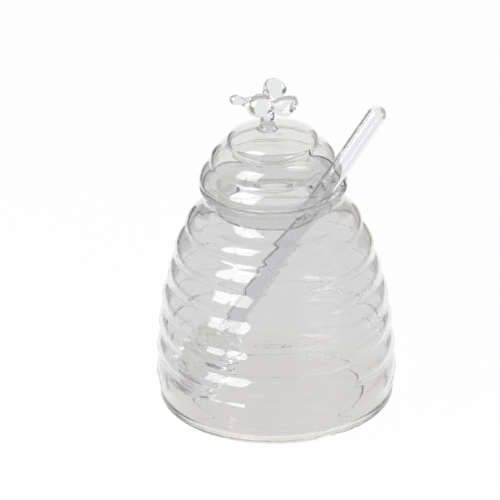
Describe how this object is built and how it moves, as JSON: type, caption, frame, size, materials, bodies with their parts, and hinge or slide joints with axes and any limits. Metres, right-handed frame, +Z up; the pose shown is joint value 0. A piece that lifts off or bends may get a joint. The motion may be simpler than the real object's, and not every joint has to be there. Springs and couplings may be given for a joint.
{
  "type": "honey pot",
  "caption": "Clear glass beehive honey pot: ribbed jar, loose ribbed lid with a notch and a bee knob, and a glass dipper leaning out of the notch.",
  "frame": {"origin": "middle of the jar's foot, on the surface it stands on", "axes": "+Z up along the pot's axis, +X towards the notch in the lid, +Y to the left of the notch seen from outside"},
  "size_m": [0.1086, 0.1086, 0.151],
  "materials": {
    "jar_glass": "clear blown glass, polished",
    "lid_glass": "clear blown glass, polished",
    "bee_glass": "clear solid glass, flame worked",
    "dipper_glass": "clear glass, flame worked"
  },
  "bodies": {
    "jar": {"jar": "jar_glass"},
    "lid": {"lid_dome": "lid_glass", "knob_foot": "bee_glass", "bee_body": "bee_glass", "bee_head": "bee_glass", "bee_wing_left": "bee_glass", "bee_wing_right": "bee_glass"},
    "dipper": {"dipper_handle": "dipper_glass", "dipper_head": "dipper_glass"}
  },
  "joints": [
    {"name": "lid_lift", "type": "slide", "parent": "jar", "child": "lid", "axis": [0, 0, 1], "range_m": [0, 0.06]},
    {"name": "dipper_draw", "type": "slide", "parent": "jar", "child": "dipper", "axis": [0.4654, 0.2592, 0.8463], "range_m": [0, 0.05]}
  ]
}
